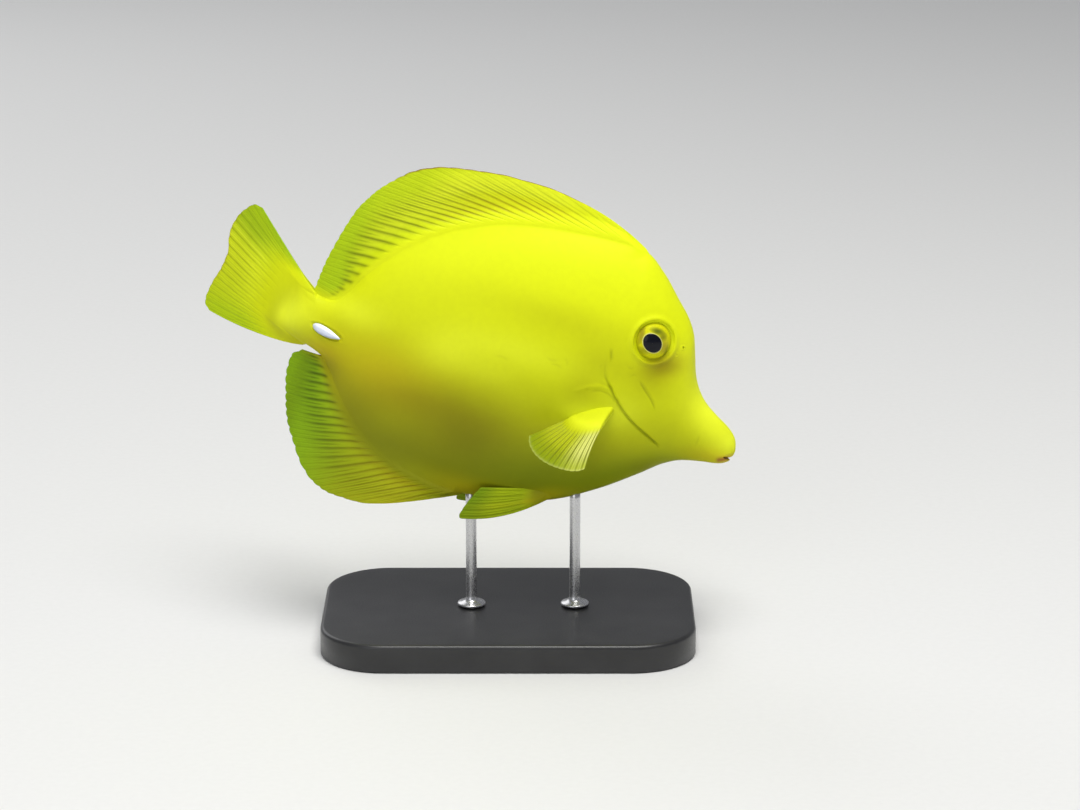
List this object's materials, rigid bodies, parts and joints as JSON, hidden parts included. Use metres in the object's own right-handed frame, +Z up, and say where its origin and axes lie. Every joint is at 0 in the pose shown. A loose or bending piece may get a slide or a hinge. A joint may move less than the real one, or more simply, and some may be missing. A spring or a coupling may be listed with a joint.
{
  "type": "yellow tang model",
  "caption": "Life-size still model of a yellow tang swimming nose down with its tail turned, on a flat base with short rods.",
  "frame": {"origin": "middle of the underside of the display base", "axes": "+X towards the fish's snout, +Y towards its left side, +Z up"},
  "size_m": [0.1491, 0.07, 0.1338],
  "materials": {
    "skin": "silky, lemon yellow, olive in the shade of the belly",
    "fin": "thin silky membrane over rays, green yellow",
    "eye": "wet gloss, yellow iris with a near-black pupil",
    "tail_spine": "smooth bluish white",
    "stand_base": "satin black",
    "stand_rod": "brushed"
  },
  "bodies": {
    "root": {"head": "skin", "torso": "skin", "tail_stalk": "skin", "dorsal_fin": "fin", "anal_fin": "fin", "caudal_fin": "fin", "pectoral_fin_right": "fin", "pectoral_fin_left": "fin", "pelvic_fin_right": "fin", "pelvic_fin_left": "fin", "eye_right": "eye", "eye_left": "eye", "tail_spine_right": "tail_spine", "tail_spine_left": "tail_spine", "stand_base": "stand_base", "stand_rod_front": "stand_rod", "stand_rod_rear": "stand_rod"}
  },
  "joints": []
}
